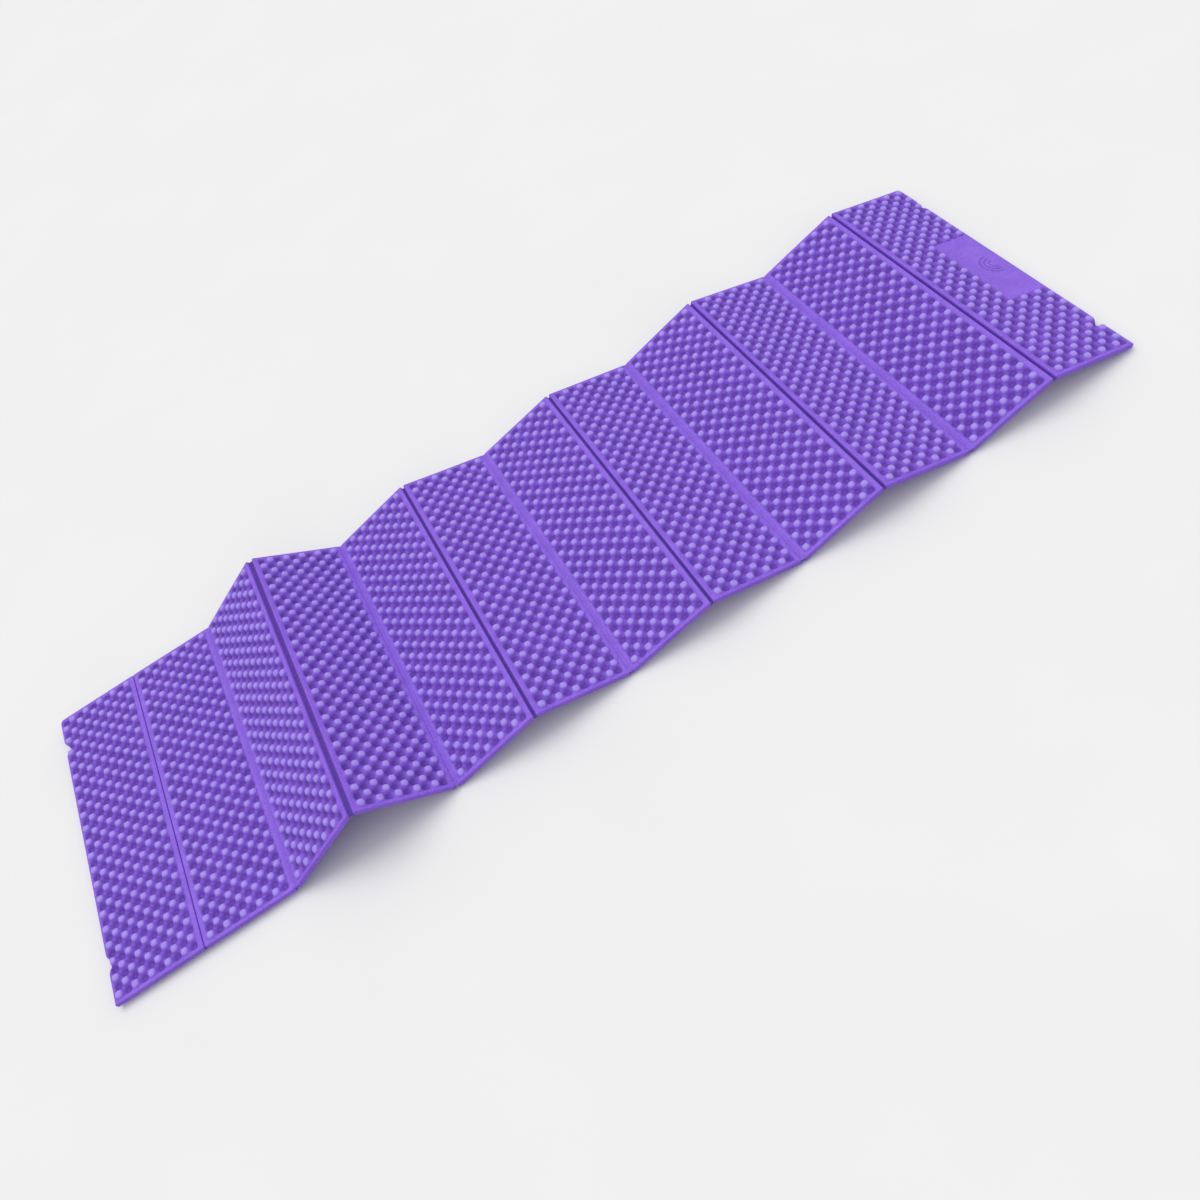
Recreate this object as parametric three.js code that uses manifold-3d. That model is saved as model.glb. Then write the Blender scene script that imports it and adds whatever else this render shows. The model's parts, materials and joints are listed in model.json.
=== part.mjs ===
// Folding closed-cell foam sleeping pad, in millimetres, +Z up.
//
// One moulded foam sheet: stiff egg-crate panels joined by thin pressed webs that act as
// living hinges. It stands in a loose zigzag, as it does when it has just been unfolded.
// +X runs along the pad, from its plain end to the end with the smooth badge patch, and +Y
// runs across it. The origin is the middle of the footprint, on the ground.
import * as THREE from 'three';
import Module from 'manifold-3d';
import { mergeVertices } from 'three/addons/utils/BufferGeometryUtils.js';

// Sheet
const PANEL_COUNT = 12;
const FOLD_PITCH = 155; // from one fold line to the next
const WIDTH = 570;
const RIM_THICKNESS = 8.5; // foam thickness, also the height of the flat side edges
const OVERALL_THICKNESS = 18; // from the lowest dimple to the highest bump
const STACK_PITCH = 11; // from panel to panel when the pad is folded up
const END_TRIM = 5; // an end panel stops this far short of a full fold pitch

// Folds
const SLIT_HALF_WIDTH = 0.5; // the outer side of a fold is slit almost through
const FOLD_RIM = 8.1; // from the fold line to the first crate cell
const WEB_HALF_WIDTH = 3; // the web bridges the slit on the fold's inner side
const WEB_THICKNESS = 2.2;
const WEB_STEPS = 6; // straight pieces that make up a bent web
const SEAM_GAP = 0.3; // between a web and the panels beside it

// Angle of each panel above the ground, plain end first; negative slopes fall towards +X
const REST_SLOPES_DEG = [0.4, 0, 31, -33.3, 15.6, -15.4, 14.1, -14.1, 16.2, -16.3, 15.2, -15.2];

// Egg-crate pattern
const CRATE_COLUMNS = 6; // an even number, so that facing bumps and dimples nest
const CRATE_ROWS = 24;
const SIDE_RIM = 5.8; // flat rim along the two long sides

// Band notches in the two end edges
const NOTCH_INSET = 68; // from a long side to the middle of a notch
const NOTCH_DEPTH = 7;
const NOTCH_MOUTH = 34;
const NOTCH_FLOOR = 6;

// Smooth badge patch on the last panel, as shares of its length and width
const BADGE_START = 0.5;
const BADGE_NEAR = 0.33;
const BADGE_FAR = 0.67;

const CRATE_HEIGHT = (OVERALL_THICKNESS - RIM_THICKNESS) / 2;
const FOAM_COLOUR = 0x8a66dc;
const WEB_COLOUR = 0x6f4cc4;

const wasm = await Module();
wasm.setup();

function isPeak(fold) {
  // odd folds close underside to underside and stand up as peaks
  return fold % 2 === 1;
}

// The side that a fold closes towards: 1 is the pad's top, -1 its underside
function innerSide(fold) {
  return isPeak(fold) ? -1 : 1;
}

function pivotHeight(fold) {
  return (innerSide(fold) * STACK_PITCH) / 2;
}

// Outer edge, field edge, the centres of equal cells, field edge, outer edge
function stations(start, fieldStart, fieldEnd, end, cells) {
  const pitch = (fieldEnd - fieldStart) / cells;
  const centres = Array.from({ length: cells }, (_, i) => fieldStart + (i + 0.5) * pitch);
  return [start, fieldStart, ...centres, fieldEnd, end];
}

// Height of the sheet's mid-surface at a grid point: bumps and dimples in a checkerboard,
// inside a flat rim that is two grid points wide
function crateHeight(column, row) {
  const inField = column > 1 && column < CRATE_COLUMNS + 2 && row > 1 && row < CRATE_ROWS + 2;
  if (!inField) return 0;
  return (column + row) % 2 === 0 ? CRATE_HEIGHT : -CRATE_HEIGHT;
}

function inBadge(x, y) {
  const across = 0.5 + y / WIDTH;
  return x > BADGE_START * FOLD_PITCH && across > BADGE_NEAR && across < BADGE_FAR;
}

// Closed egg-crate sheet between two X positions. ridged joins bumps with ridges, and its
// neighbour joins dimples with grooves instead, so that the two fit each other when folded.
function crateGeometry(start, end, ridged, badge) {
  const side = WIDTH / 2;
  const xs = stations(start, FOLD_RIM, FOLD_PITCH - FOLD_RIM, end, CRATE_COLUMNS);
  const ys = stations(-side, SIDE_RIM - side, side - SIDE_RIM, side, CRATE_ROWS);
  const columns = xs.length;
  const rows = ys.length;
  const positions = [];
  for (const face of [1, -1]) {
    for (let j = 0; j < rows; j += 1) {
      for (let i = 0; i < columns; i += 1) {
        const flat = face === 1 && badge && inBadge(xs[i], ys[j]);
        const z = (flat ? 0 : crateHeight(i, j)) + (face * RIM_THICKNESS) / 2;
        positions.push(xs[i], ys[j], z);
      }
    }
  }
  const top = (i, j) => j * columns + i;
  const bottom = (i, j) => columns * rows + top(i, j);
  const triangles = [];
  for (let j = 0; j + 1 < rows; j += 1) {
    for (let i = 0; i + 1 < columns; i += 1) {
      const corners = [[i, j], [i + 1, j], [i + 1, j + 1], [i, j + 1]];
      const heights = corners.map(([c, r]) => crateHeight(c, r));
      const rising = heights[0] + heights[2] > heights[1] + heights[3];
      const [a, b, c, d] = rising === ridged ? corners : [...corners.slice(1), corners[0]];
      for (const [p, q, r] of [[a, b, c], [a, c, d]]) {
        triangles.push(top(...p), top(...q), top(...r));
        triangles.push(bottom(...p), bottom(...r), bottom(...q));
      }
    }
  }
  const rim = [];
  for (let i = 0; i + 1 < columns; i += 1) rim.push([i, 0]);
  for (let j = 0; j + 1 < rows; j += 1) rim.push([columns - 1, j]);
  for (let i = columns - 1; i > 0; i -= 1) rim.push([i, rows - 1]);
  for (let j = rows - 1; j > 0; j -= 1) rim.push([0, j]);
  rim.forEach((p, k) => {
    const q = rim[(k + 1) % rim.length];
    triangles.push(bottom(...p), bottom(...q), top(...q));
    triangles.push(bottom(...p), top(...q), top(...p));
  });
  const geometry = new THREE.BufferGeometry();
  geometry.setAttribute('position', new THREE.Float32BufferAttribute(positions, 3));
  geometry.setIndex(triangles);
  return geometry;
}

function toSolid(geometry) {
  const bare = geometry.clone();
  bare.deleteAttribute('normal');
  bare.deleteAttribute('uv');
  const merged = mergeVertices(bare);
  return new wasm.Manifold(new wasm.Mesh({
    numProp: 3,
    vertProperties: new Float32Array(merged.attributes.position.array),
    triVerts: new Uint32Array(merged.index.array),
  }));
}

function fromSolid(solid) {
  const mesh = solid.getMesh();
  const geometry = new THREE.BufferGeometry();
  geometry.setAttribute('position', new THREE.BufferAttribute(mesh.vertProperties, 3));
  geometry.setIndex(new THREE.BufferAttribute(mesh.triVerts, 1));
  return geometry;
}

// Prism that cuts one band notch: a shallow scoop with a short flat floor, open outwards.
// edge is the end edge's X, and outward is its direction, 1 or -1.
function notchCutter(edge, outward, y) {
  const reach = OVERALL_THICKNESS;
  const floor = -NOTCH_DEPTH;
  const mouth = NOTCH_MOUTH / 2;
  const flat = NOTCH_FLOOR / 2;
  const bend = (mouth + flat) / 2;
  const shape = new THREE.Shape();
  shape.moveTo(reach, -mouth);
  shape.lineTo(reach, mouth);
  shape.lineTo(0, mouth);
  shape.quadraticCurveTo(floor, bend, floor, flat);
  shape.lineTo(floor, -flat);
  shape.quadraticCurveTo(floor, -bend, 0, -mouth);
  const cutter = new THREE.ExtrudeGeometry(shape, {
    depth: 2 * OVERALL_THICKNESS,
    bevelEnabled: false,
    curveSegments: 5,
  });
  cutter.translate(0, 0, -OVERALL_THICKNESS);
  if (outward < 0) cutter.rotateZ(Math.PI);
  cutter.translate(edge, y, 0);
  return cutter;
}

function cutNotches(solid, edge, outward) {
  let cut = solid;
  for (const side of [-1, 1]) {
    const y = side * (WIDTH / 2 - NOTCH_INSET);
    cut = cut.subtract(toSolid(notchCutter(edge, outward, y)));
  }
  return cut;
}

// Clears the place of a fold's web from the inner face of the panel beside it
function cutRebate(solid, fold, foldLine) {
  const depth = WEB_THICKNESS + SEAM_GAP;
  const height = OVERALL_THICKNESS;
  const box = new THREE.BoxGeometry(2 * WEB_HALF_WIDTH, 2 * WIDTH, height);
  box.translate(foldLine, 0, innerSide(fold) * (RIM_THICKNESS / 2 - depth + height / 2));
  return solid.subtract(toSolid(box));
}

// Panels count from 1; panel p lies between fold p - 1 and fold p
function panelGeometry(panel) {
  const first = panel === 1;
  const last = panel === PANEL_COUNT;
  const start = first ? END_TRIM : SLIT_HALF_WIDTH;
  const end = FOLD_PITCH - (last ? END_TRIM : SLIT_HALF_WIDTH);
  let solid = toSolid(crateGeometry(start, end, panel % 2 === 1, last));
  solid = first ? cutNotches(solid, start, -1) : cutRebate(solid, panel - 1, 0);
  solid = last ? cutNotches(solid, end, 1) : cutRebate(solid, panel, FOLD_PITCH);
  return fromSolid(solid);
}

// Where every panel stands: its slope and the place of its own start, in the XZ plane
function restPlaces() {
  const places = [];
  const start = new THREE.Vector2(0, 0);
  for (let panel = 1; panel <= PANEL_COUNT; panel += 1) {
    const slope = THREE.MathUtils.degToRad(REST_SLOPES_DEG[panel - 1]);
    const along = new THREE.Vector2(Math.cos(slope), Math.sin(slope));
    const up = new THREE.Vector2(-Math.sin(slope), Math.cos(slope));
    if (panel > 1) start.addScaledVector(up, -pivotHeight(panel - 1));
    places.push({ slope, x: start.x, z: start.y });
    start.addScaledVector(along, FOLD_PITCH).addScaledVector(up, pivotHeight(panel));
  }
  return places;
}

// Bent strip across one fold, in the frame of the panel before it. Each station turns about
// the fold's pivot by its share of the fold's angle, so both ends stay square to the panels.
function webGeometry(fold, bend) {
  const pivot = new THREE.Vector2(FOLD_PITCH, pivotHeight(fold));
  const reach = WEB_HALF_WIDTH - SEAM_GAP;
  const inner = (innerSide(fold) * RIM_THICKNESS) / 2;
  const outer = inner - innerSide(fold) * WEB_THICKNESS;
  const edge = (height) => Array.from({ length: WEB_STEPS + 1 }, (_, i) => {
    const share = i / WEB_STEPS;
    const flat = new THREE.Vector2(FOLD_PITCH + (2 * share - 1) * reach, height);
    return flat.rotateAround(pivot, share * bend);
  });
  const [low, high] = [Math.min(outer, inner), Math.max(outer, inner)];
  const shape = new THREE.Shape([...edge(low), ...edge(high).reverse()]);
  const web = new THREE.ExtrudeGeometry(shape, { depth: WIDTH, bevelEnabled: false });
  web.rotateX(Math.PI / 2);
  web.translate(0, WIDTH / 2, 0);
  return web;
}

function foamMesh(name, geometry, colour, place) {
  const material = new THREE.MeshStandardMaterial({ color: colour, roughness: 0.55, metalness: 0 });
  const mesh = new THREE.Mesh(geometry, material);
  mesh.name = name;
  mesh.position.set(place.x, 0, place.z);
  mesh.rotation.y = -place.slope;
  return mesh;
}

function twoDigits(number) {
  return String(number).padStart(2, '0');
}

function buildPad() {
  const places = restPlaces();
  const sheet = new THREE.Group();
  places.forEach((place, index) => {
    const panel = index + 1;
    sheet.add(foamMesh(`panel_${twoDigits(panel)}`, panelGeometry(panel), FOAM_COLOUR, place));
    if (panel === PANEL_COUNT) return;
    const bend = places[panel].slope - place.slope;
    sheet.add(foamMesh(`hinge_web_${twoDigits(panel)}`, webGeometry(panel, bend), WEB_COLOUR, place));
  });
  sheet.updateMatrixWorld(true);
  const box = new THREE.Box3().setFromObject(sheet, true);
  sheet.position.set(-(box.min.x + box.max.x) / 2, 0, -box.min.z);
  const pad = new THREE.Group();
  pad.add(sheet);
  return pad;
}

export default buildPad();
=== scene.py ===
"""Looks of the folding foam sleeping pad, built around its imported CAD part."""

import json
import math

import bpy
import numpy as np
from mathutils import Matrix, Vector


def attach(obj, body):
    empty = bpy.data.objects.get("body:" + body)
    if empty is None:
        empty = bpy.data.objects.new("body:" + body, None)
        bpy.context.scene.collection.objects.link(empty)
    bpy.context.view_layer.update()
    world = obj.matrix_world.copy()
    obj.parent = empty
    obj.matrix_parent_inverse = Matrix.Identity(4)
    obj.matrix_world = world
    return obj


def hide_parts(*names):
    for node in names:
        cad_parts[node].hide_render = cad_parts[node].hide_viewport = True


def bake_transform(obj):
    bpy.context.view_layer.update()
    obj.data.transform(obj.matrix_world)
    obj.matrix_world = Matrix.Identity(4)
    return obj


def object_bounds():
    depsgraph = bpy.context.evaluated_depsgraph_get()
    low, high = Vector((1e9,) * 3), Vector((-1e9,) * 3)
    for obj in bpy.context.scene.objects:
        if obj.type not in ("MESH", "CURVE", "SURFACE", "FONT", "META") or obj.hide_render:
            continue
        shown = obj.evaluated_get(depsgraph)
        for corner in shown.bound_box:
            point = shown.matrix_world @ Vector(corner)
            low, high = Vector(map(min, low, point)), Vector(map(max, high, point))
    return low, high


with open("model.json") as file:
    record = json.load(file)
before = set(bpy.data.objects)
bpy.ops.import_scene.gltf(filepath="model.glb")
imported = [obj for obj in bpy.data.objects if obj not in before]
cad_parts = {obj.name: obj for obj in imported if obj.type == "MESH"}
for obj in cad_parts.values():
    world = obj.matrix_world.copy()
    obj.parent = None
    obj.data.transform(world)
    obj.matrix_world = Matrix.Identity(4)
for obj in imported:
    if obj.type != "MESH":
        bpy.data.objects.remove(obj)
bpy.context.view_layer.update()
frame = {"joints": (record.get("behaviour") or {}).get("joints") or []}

# Sizes of the sheet, in metres
PANELS = 12
PITCH = 0.155  # fold line to fold line
HALF_WIDTH = 0.285
HALF_RIM = 0.00425  # half the foam's thickness
CRATE = 0.00475  # height of a bump above the flat rim
GROUND = 0.0013  # how far the ground between bumps and pits lies below the rim
HALF_STACK = 0.0055  # from the sheet's middle to a fold's pivot
SLIT = 0.0003  # a fold's outer side is slit, and each panel stops this far short
END_TRIM = 0.005
FOLD_RIM = 0.0081
SIDE_RIM = 0.0058
COLUMNS = 10
ROWS = 40
SAMPLES = 8  # mesh steps across one cell

# Edges and corners, as radii in metres
SIDE_EDGE = 0.0014
END_EDGE = 0.0015
SLIT_EDGE = 0.002
PEAK_CORNER = 0.002
VALLEY_CORNER = 0.0007
NEAR_CORNER = 0.0006
FAR_CORNER = 0.008
CORNER_REACH = 0.03  # how far into a panel its mesh is eased to follow a cut-back end

# Webs, and the rebates in the panels that they lie in
WEB_REACH = 0.003
WEB_THICKNESS = 0.0022
WEB_SIDE_GAP = 0.0004
SEAM = 0.00012
REBATE_REACH = 0.00269

# Notches in the end edges, and the smooth patch on the last panel
NOTCH_PLACE = HALF_WIDTH - 0.068
NOTCH_DEPTH = 0.007
NOTCH_HALF_MOUTH = 0.017
PATCH_START = 0.0774
PATCH_HALF_WIDTH = 0.0977
MOTIF_PLACE = 0.128  # the middle of the pressed arches on the patch
MOTIF_DEPTH = 0.001
MOTIF_RINGS = (0.009, 0.0165, 0.024)

# Mesh lines in the rims, from a panel's ends and from its sides
END_LINES = (0, 0.0001, 0.0003, 0.0006, 0.001, 0.0016, 0.0022, 0.00268, 0.0027, 0.0035, 0.005)
SIDE_LINES = (0, 0.0001, 0.0003, 0.0007, 0.0012, 0.0018, 0.003, 0.0045)


def is_peak(fold):
    return fold % 2 == 1


def inner_side(fold):
    """The side that a fold closes towards: 1 is the top, -1 the underside."""
    return -1 if is_peak(fold) else 1


def smooth(t):
    t = np.clip(t, 0, 1)
    return t * t * (3 - 2 * t)


def panel_places():
    """Slope and start of every panel at rest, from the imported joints."""
    joints = {j["name"]: j for j in frame["joints"]}
    pivots = {}
    bends = {}
    for fold in range(1, PANELS):
        joint = joints[f"fold_{fold:02d}"]
        point = joint["pos_m"]
        pivots[fold] = np.array([point[0], point[2]])
        bends[fold] = math.radians(-joint["range_deg"][0])
    line = pivots[2] - pivots[1]
    rise = HALF_STACK * (inner_side(2) - inner_side(1))
    slopes = {2: math.atan2(line[1], line[0]) - math.atan2(rise, PITCH)}
    for fold in range(2, PANELS):
        slopes[fold + 1] = slopes[fold] + inner_side(fold) * bends[fold]
    slopes[1] = slopes[2] - inner_side(1) * bends[1]
    places = {}
    for panel, slope in slopes.items():
        along = np.array([math.cos(slope), math.sin(slope)])
        up = np.array([-math.sin(slope), math.cos(slope)])
        if panel == 1:
            start = pivots[1] - PITCH * along - inner_side(1) * HALF_STACK * up
        else:
            start = pivots[panel - 1] - inner_side(panel - 1) * HALF_STACK * up
        places[panel] = (slope, start)
    return places


def to_row(place, s, y, n):
    """Row-frame points of sheet coordinates: s along the panel, n above its middle."""
    slope, start = place
    x = start[0] + s * math.cos(slope) - n * math.sin(slope)
    z = start[1] + s * math.sin(slope) + n * math.cos(slope)
    return np.stack([x, y, z], -1)


def steps_across(edge, field_start, field_end, far_edge, cells, fine):
    """Mesh lines from edge to edge: fine ones in the rims, even ones in the field."""
    rim = np.array(fine)
    near = edge + rim[rim < field_start - edge - 1e-5]
    far = far_edge - rim[rim < far_edge - field_end - 1e-5][::-1]
    field = np.linspace(field_start, field_end, cells * SAMPLES + 1)
    return np.concatenate([near, field, far])


def with_finer_lines(lines, low, high):
    """Adds mesh lines every 1.1 mm between low and high, clear of those already there."""
    extra = np.arange(low, high, 0.0011)
    clear = np.abs(extra[:, None] - lines[None, :]).min(1) > 0.0003
    return np.sort(np.concatenate([lines, extra[clear]]))


def rounded(distance, radius):
    """How far a surface drops within radius of its edge, as a quarter circle."""
    t = np.clip(1 - distance / radius, 0, 1)
    return radius * (1 - np.sqrt(1 - t * t))


def crate(s, y, face):
    """How far one face of the egg-crate stands above its flat rim: round knobs on a sunken
    ground, with pits between them. The other face has its knobs where this one has pits.
    The notches cut through the cells, so that folded panels nest there too."""
    pitch = (PITCH - 2 * FOLD_RIM) / COLUMNS
    u = (s - FOLD_RIM) / pitch - 0.5
    v = (y + HALF_WIDTH - SIDE_RIM) / (2 * (HALF_WIDTH - SIDE_RIM)) * ROWS - 0.5
    border = np.minimum(np.minimum(u, COLUMNS - 1 - u), np.minimum(v, ROWS - 1 - v)) + 0.5
    uneven = 1 - 0.03 * (1 + np.sin(0.9 * u + 1.3 * v) * np.sin(1.7 * u - 0.6 * v + 1))
    wave = face * np.cos(np.pi * u) * np.cos(np.pi * v)
    knob = 0.82 * smooth((wave - 0.08) / 0.45) + 0.18 * np.maximum(wave, 0)
    pit = smooth(-wave / 0.95)
    rise = (CRATE + GROUND) * knob - (CRATE - GROUND) * pit
    return np.where(border > 0, uneven * rise - GROUND * smooth(border / 0.2), 0)


def corner_radii(fold):
    """Near and far corner radius of a panel's end at a fold, or at an end of the pad."""
    if not 1 <= fold < PANELS:
        return NEAR_CORNER, FAR_CORNER
    radius = PEAK_CORNER if is_peak(fold) else VALLEY_CORNER
    return radius, radius


def end_inset(y, near_radius, far_radius, notched):
    """How far an end of a panel is cut back, for its round corners and its notches."""
    inset = rounded(y + HALF_WIDTH, near_radius) + rounded(HALF_WIDTH - y, far_radius)
    if notched:
        for side in (-1, 1):
            away = np.abs(y - side * NOTCH_PLACE) / NOTCH_HALF_MOUTH
            inset = inset + NOTCH_DEPTH * (1 - smooth(away))
    return inset


def add_mesh(name, points, faces, sheet, relief, cut, slit):
    mesh = bpy.data.meshes.new(name)
    mesh.from_pydata(points.reshape(-1, 3).tolist(), [], faces.tolist())
    for label, values in (("relief", relief), ("cut", cut), ("slit", slit)):
        layer = mesh.attributes.new(label, "FLOAT", "POINT")
        layer.data.foreach_set("value", values.ravel().astype(np.float32))
    layer = mesh.attributes.new("sheet", "FLOAT_VECTOR", "POINT")
    layer.data.foreach_set("vector", sheet.ravel().astype(np.float32))
    mesh.shade_smooth()
    mesh.set_sharp_from_angle(angle=math.radians(50))
    obj = bpy.data.objects.new(name, mesh)
    bpy.context.scene.collection.objects.link(obj)
    return obj


def shell_faces(columns, rows):
    """Quads of a closed shell made of a top grid and a bottom grid of the same size."""
    index = np.arange(columns * rows).reshape(rows, columns)
    a, b = index[:-1, :-1].ravel(), index[:-1, 1:].ravel()
    c, d = index[1:, 1:].ravel(), index[1:, :-1].ravel()
    below = columns * rows
    top = np.stack([a, b, c, d], 1)
    bottom = np.stack([a, d, c, b], 1) + below
    ring = np.concatenate([
        index[0, :-1],
        index[:-1, -1],
        index[-1, :0:-1],
        index[:0:-1, 0],
    ])
    after = np.roll(ring, -1)
    wall = np.stack([ring + below, after + below, after, ring], 1)
    return np.concatenate([top, bottom, wall])


def panel_grid(panel):
    """Sheet coordinates of a panel's mesh lines, cut back at the ends."""
    first, last = panel == 1, panel == PANELS
    start = END_TRIM if first else SLIT
    end = PITCH - (END_TRIM if last else SLIT)
    field = HALF_WIDTH - SIDE_RIM
    s = steps_across(start, FOLD_RIM, PITCH - FOLD_RIM, end, COLUMNS, END_LINES)
    y = steps_across(-HALF_WIDTH, SIDE_RIM - HALF_WIDTH, field, HALF_WIDTH, ROWS, SIDE_LINES)
    if last:
        s = with_finer_lines(s, MOTIF_PLACE - 0.026, MOTIF_PLACE + 0.002)
        y = with_finer_lines(y, -0.026, 0.026)
    s, y = np.meshgrid(s, y)
    low = end_inset(y, *corner_radii(panel - 1), first)
    high = end_inset(y, *corner_radii(panel), last)
    from_low = np.clip(1 - (s - start) / CORNER_REACH, 0, 1)
    from_high = np.clip(1 - (end - s) / CORNER_REACH, 0, 1)
    moved = s + low * from_low - high * from_high
    return s, y, moved, start, end


def patch_share(s, y):
    """1 on the smooth badge patch of the last panel and 0 around it."""
    across = smooth((PATCH_HALF_WIDTH - np.abs(y)) / 0.0015)
    return across * smooth((s - PATCH_START) / 0.0015)


def motif(s, y):
    """1 on the lines of the patch's pressed motif, three plain nested arches, and 0 off them."""
    radius = np.hypot(s - MOTIF_PLACE, y)
    lines = np.zeros_like(s)
    for ring in MOTIF_RINGS:
        lines = np.maximum(lines, 1 - smooth((np.abs(radius - ring) - 0.0008) / 0.0009))
    return lines * smooth((MOTIF_PLACE - s) / 0.0015 + 0.5)


def edge_drop(panel, face, side, ends):
    """How far a face falls below its full height: round edges, and the webs' rebates."""
    drop = rounded(side, SIDE_EDGE)
    for fold, away in ends:
        if not 1 <= fold < PANELS:
            drop = np.maximum(drop, rounded(away, END_EDGE))
        elif face == inner_side(fold):
            drop = np.where(away < REBATE_REACH, WEB_THICKNESS + SEAM, drop)
        else:
            drop = np.maximum(drop, rounded(away, SLIT_EDGE))
    return drop


def slit_shade(n, ends):
    """How much painted shade the walls beside a panel's slits get, deepest near the webs."""
    shade = np.zeros_like(n)
    for fold, away in ends:
        if 1 <= fold < PANELS:
            sunk = smooth((HALF_RIM + inner_side(fold) * n - 0.0015) / 0.004)
            shade = np.maximum(shade, 0.6 * smooth(1 - away / 0.0009) * sunk)
    return shade


def build_panel(panel, place, material):
    s, y, moved, start, end = panel_grid(panel)
    ends = ((panel - 1, s - start), (panel, end - s))
    side = np.minimum(y + HALF_WIDTH, HALF_WIDTH - y)
    bow = np.sin(np.pi * s / PITCH) * (0.5 + 0.5 * np.sin(7 * y + 2.1 * panel))
    drift = 0.0004 * bow * (1 if panel % 2 else -1)
    heights = []
    reliefs = []
    for face in (1, -1):
        rise = crate(moved, y, face)
        # relief also drives the painted shade in the pits and the painted highlight on the knob
        # tops
        relief = rise / CRATE
        if panel == PANELS and face == 1:
            rise = rise * (1 - patch_share(s, y)) - MOTIF_DEPTH * motif(s, y)
            # Painted shade in the motif's pressed lines: their relief is lowered, which darkens
            # them.
            relief = relief * (1 - patch_share(s, y)) - 0.45 * motif(s, y)
        level = HALF_RIM + rise - edge_drop(panel, face, side, ends)
        heights.append(drift + face * level)
        reliefs.append(relief)
    both_s = np.stack([moved, moved])
    both_y = np.stack([y, y])
    both_n = np.stack(heights)
    points = to_row(place, both_s, both_y, both_n)
    sheet = np.stack([both_s + (panel - 1) * PITCH, both_y, both_n], -1)
    edge = np.minimum(side, np.minimum(s - start, end - s))
    cut = np.stack([smooth(1 - edge / 0.0012)] * 2)
    # Painted shade on the walls beside the slits, deepest near the webs.
    slit = slit_shade(both_n, ends)
    faces = shell_faces(s.shape[1], s.shape[0])
    name = f"foam_panel_{panel:02d}"
    obj = add_mesh(name, points, faces, sheet, np.stack(reliefs), cut, slit)
    obj.data.materials.append(material)
    body = f"panel_{panel:02d}"
    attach(obj, body)
    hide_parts(body)


def build_web(fold, places, material):
    """Thin pressed strip over a fold's inner side, bent as the pad stands."""
    before = places[fold]
    bend = places[fold + 1][0] - before[0]
    side = inner_side(fold)
    t = np.linspace(0, 1, 25)
    y = np.linspace(-1, 1, 61)
    y = np.sign(y) * (1 - (1 - np.abs(y)) ** 1.4) * (HALF_WIDTH - WEB_SIDE_GAP)
    t, y = np.meshgrid(t, y)
    flat = (2 * t - 1) * (WEB_REACH - SEAM)
    end = np.minimum(t, 1 - t) * 2 * (WEB_REACH - SEAM)
    edge = rounded(HALF_WIDTH - WEB_SIDE_GAP - np.abs(y), 0.0009)
    face_drop = np.maximum(edge, rounded(end, 0.00008))
    inner = side * (HALF_RIM - face_drop)
    outer = side * (HALF_RIM - WEB_THICKNESS + edge)
    high, low = (inner, outer) if side > 0 else (outer, inner)
    n = np.stack([high, low])
    s = np.stack([flat, flat])
    both_y = np.stack([y, y])
    turn = np.stack([smooth(t)] * 2) * bend
    pivot = side * HALF_STACK
    turned_s = PITCH + s * np.cos(turn) - (n - pivot) * np.sin(turn)
    turned_n = pivot + s * np.sin(turn) + (n - pivot) * np.cos(turn)
    points = to_row(before, turned_s, both_y, turned_n)
    sheet = np.stack([s + fold * PITCH, both_y, n], -1)
    nothing = np.zeros_like(s)
    slit = np.zeros_like(s)
    # Painted shade on the web's outer face, which lies deep inside the slit.
    slit[1 if side > 0 else 0] = 1 - 0.6 * smooth((np.abs(flat) - 0.0003) / 0.0012)
    faces = shell_faces(t.shape[1], t.shape[0])
    obj = add_mesh(f"fold_web_{fold:02d}", points, faces, sheet, nothing, nothing, slit)
    obj.data.materials.append(material)
    start = points[0, 0, 0].copy()
    finish = points[0, 0, -1].copy()
    start[1] = finish[1] = 0
    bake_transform(obj)
    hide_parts(f"hinge_web_{fold:02d}")


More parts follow.
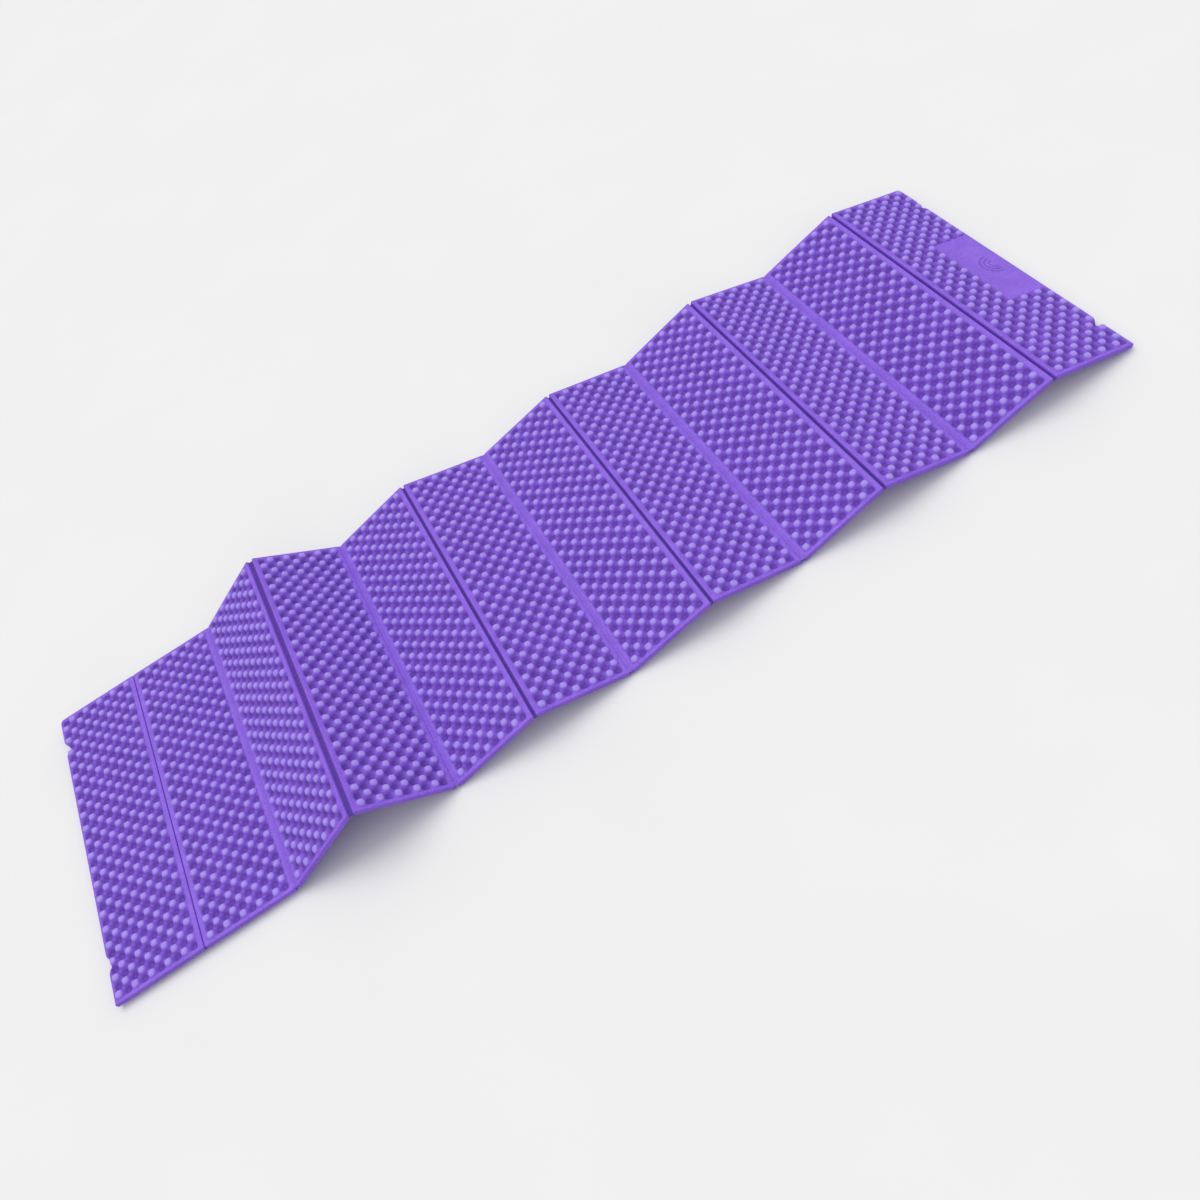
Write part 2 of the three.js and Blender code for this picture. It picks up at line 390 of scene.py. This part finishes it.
class Nodes:
    """Short ways to add and join shader nodes."""

    def __init__(self, name):
        self.material = bpy.data.materials.new(name)
        self.material.use_nodes = True
        self.tree = self.material.node_tree
        self.shader = self.tree.nodes["Principled BSDF"]

    def add(self, kind, **values):
        node = self.tree.nodes.new(kind)
        for key, value in values.items():
            if key.startswith("in_"):
                node.inputs[key[3:].replace("_", " ")].default_value = value
            else:
                setattr(node, key, value)
        return node

    def join(self, source, target):
        self.tree.links.new(source, target)

    def attribute(self, name):
        return self.add("ShaderNodeAttribute", attribute_name=name)

    def noise(self, vector, scale, detail=3.0, roughness=0.55):
        values = {"in_Scale": scale, "in_Detail": detail, "in_Roughness": roughness}
        node = self.add("ShaderNodeTexNoise", **values)
        self.join(vector, node.inputs["Vector"])
        return node.outputs["Fac"]

    def spread(self, value, low, high, to_low, to_high):
        node = self.add("ShaderNodeMapRange")
        ends = {"From Min": low, "From Max": high, "To Min": to_low, "To Max": to_high}
        for slot, number in ends.items():
            node.inputs[slot].default_value = number
        self.join(value, node.inputs["Value"])
        return node.outputs["Result"]

    def mix(self, share, first, second):
        node = self.add("ShaderNodeMix", data_type="RGBA")
        self.join(share, node.inputs[0])
        for slot, colour in ((6, first), (7, second)):
            if isinstance(colour, tuple):
                node.inputs[slot].default_value = (*colour, 1)
            else:
                self.join(colour, node.inputs[slot])
        return node.outputs[2]

    def math(self, operation, first, second):
        node = self.add("ShaderNodeMath", operation=operation)
        for slot, value in ((0, first), (1, second)):
            if isinstance(value, (int, float)):
                node.inputs[slot].default_value = value
            else:
                self.join(value, node.inputs[slot])
        return node.outputs[0]

    def bump(self, height, strength, distance, under=None):
        node = self.add("ShaderNodeBump", in_Strength=strength, in_Distance=distance)
        self.join(height, node.inputs["Height"])
        if under is not None:
            self.join(under, node.inputs["Normal"])
        return node.outputs["Normal"]


def shaded(colour, shares):
    return tuple(c * share for c, share in zip(colour, shares))


def foam_material(name, low, high, base_roughness):
    """Closed-cell foam with a moulded skin: fine cells, mottled tone, painted shade in the pits and
    on the ground around the knobs, a painted highlight on the knob tops with a darker middle, pale
    scuffs on the knobs, open cells on cut edges, and painted shade on the walls and webs inside the
    slits."""
    n = Nodes(name)
    place = n.attribute("sheet").outputs["Vector"]
    relief = n.attribute("relief").outputs["Fac"]
    cut = n.attribute("cut").outputs["Fac"]
    slit = n.attribute("slit").outputs["Fac"]
    tone = n.spread(n.noise(place, 26, 4), 0.32, 0.68, 0, 1)
    grain = n.noise(place, 1500, 2)
    colour = n.mix(tone, low, high)
    # Painted shade: a darker colour for the pits and the sunken ground around the knobs, set by the
    # relief; the same colour also serves the random mottle flecks below.
    shade_and_mottle_colour = n.mix(tone, shaded(low, (0.4, 0.22, 0.47)), shaded(high, (0.46, 0.27, 0.53)))
    colour = n.mix(n.spread(relief, -0.68, 0.0, 0, 1), shade_and_mottle_colour, colour)
    colour = n.mix(n.spread(n.noise(place, 380, 4, 0.7), 0.44, 0.64, 0, 0.42), colour, shade_and_mottle_colour)
    # Painted highlight: the knob tops are lighter, eased back towards the base colour at their very
    # tips; the same pale colour also serves the random speckle.
    highlight_and_fleck_colour = tuple(1 - (1 - c) * share for c, share in zip(high, (0.82, 0.795, 0.66)))
    colour = n.mix(n.spread(relief, 0.15, 0.65, 0, 0.86), colour, highlight_and_fleck_colour)
    colour = n.mix(n.spread(relief, 0.955, 0.985, 0, 0.45), colour, low)
    speckle = n.spread(grain, 0.35, 0.7, 0, 0.2)
    colour = n.mix(speckle, colour, highlight_and_fleck_colour)
    worn = n.spread(n.noise(place, 140, 5), 0.5, 0.68, 0, 0.4)
    scuff = n.math("MULTIPLY", worn, n.spread(relief, 0.5, 0.95, 0, 1))
    colour = n.mix(scuff, colour, tuple(min(1, 0.55 * c + 0.3) for c in high))
    colour = n.mix(n.math("MULTIPLY", cut, 0.3), colour, shaded(low, (0.6, 0.5, 0.65)))
    # Painted shade inside the slits, from the slit mask.
    colour = n.mix(n.math("MULTIPLY", slit, 0.9), colour, shaded(low, (0.26, 0.14, 0.36)))
    n.join(colour, n.shader.inputs["Base Color"])
    rough = n.spread(n.noise(place, 90, 3), 0.3, 0.7, base_roughness - 0.07, base_roughness + 0.09)
    rough = n.math("ADD", rough, n.math("MULTIPLY", cut, 0.2))
    rough = n.math("ADD", rough, n.math("MULTIPLY", scuff, 0.3))
    n.join(rough, n.shader.inputs["Roughness"])
    cells = n.add("ShaderNodeTexVoronoi", in_Scale=1100.0)
    n.join(place, cells.inputs["Vector"])
    pores = n.math("MULTIPLY", cells.outputs["Distance"], n.math("ADD", 0.25, cut))
    normal = n.bump(pores, 0.3, 0.0003)
    normal = n.bump(grain, 0.28, 0.0003, normal)
    normal = n.bump(n.noise(place, 260, 4), 0.6, 0.001, normal)
    n.join(normal, n.shader.inputs["Normal"])
    n.shader.inputs["IOR"].default_value = 1.46
    n.shader.inputs["Specular IOR Level"].default_value = 0.32
    return n.material


def floor_material():
    n = Nodes("studio_floor")
    place = n.add("ShaderNodeTexCoord").outputs["Object"]
    tone = n.spread(n.noise(place, 3, 2), 0.3, 0.7, 0, 1)
    n.join(n.mix(tone, (0.862, 0.862, 0.864), (0.882, 0.882, 0.882)), n.shader.inputs["Base Color"])
    n.shader.inputs["Roughness"].default_value = 0.9
    n.shader.inputs["Specular IOR Level"].default_value = 0.1
    return n.material


def build_stage():
    mesh = bpy.data.meshes.new("floor")
    far = 30.0
    corners = [(-far, -far, 0), (far, -far, 0), (far, far, 0), (-far, far, 0)]
    mesh.from_pydata(corners, [], [(0, 1, 2, 3)])
    floor = bpy.data.objects.new("floor", mesh)
    floor.location.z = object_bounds()[0].z - 0.0001
    floor.data.materials.append(floor_material())
    bpy.context.scene.collection.objects.link(floor)
    key = bpy.data.lights.new("key", "SUN")
    key.energy = 1.1
    key.angle = math.radians(48)
    lamp = bpy.data.objects.new("key", key)
    lamp.rotation_mode = "QUATERNION"
    lamp.rotation_quaternion = Vector((0.2, -0.5, -1.2)).to_track_quat("-Z", "Y")
    bpy.context.scene.collection.objects.link(lamp)
    world = bpy.data.worlds.new("studio")
    world.use_nodes = True
    world.node_tree.nodes["Background"].inputs["Color"].default_value = (1, 1, 1, 1)
    world.node_tree.nodes["Background"].inputs["Strength"].default_value = 0.69
    bpy.context.scene.world = world
    bpy.context.scene.view_settings.view_transform = "Standard"


def build_camera():
    camera = bpy.data.cameras.new("camera")
    camera.sensor_width = 36.0
    camera.lens = 31.875
    obj = bpy.data.objects.new("camera", camera)
    right = Vector((0.8387, -0.45116, -0.30502)).normalized()
    back = Vector((-0.04492, -0.61549, 0.78687)).normalized()
    up = back.cross(right).normalized()
    turn = Matrix((right, up, back)).transposed().to_4x4()
    obj.matrix_world = Matrix.Translation((-0.0647, -1.1616, 1.3145)) @ turn
    bpy.context.scene.collection.objects.link(obj)
    bpy.context.scene.camera = obj


def build_pad():
    places = panel_places()
    skin = foam_material("foam_skin", (0.243, 0.1, 0.73), (0.296, 0.131, 0.835), 0.46)
    # The webs' skin is a darker, slightly smoother copy of the panels' skin: its darker colour is
    # painted shade in the fold bands.
    pressed = foam_material("pressed_skin", (0.225, 0.09, 0.68), (0.27, 0.118, 0.77), 0.44)
    for panel in range(1, PANELS + 1):
        build_panel(panel, places[panel], skin)
    for fold in range(1, PANELS):
        build_web(fold, places, pressed)


build_pad()
build_stage()
build_camera()
bpy.context.view_layer.update()
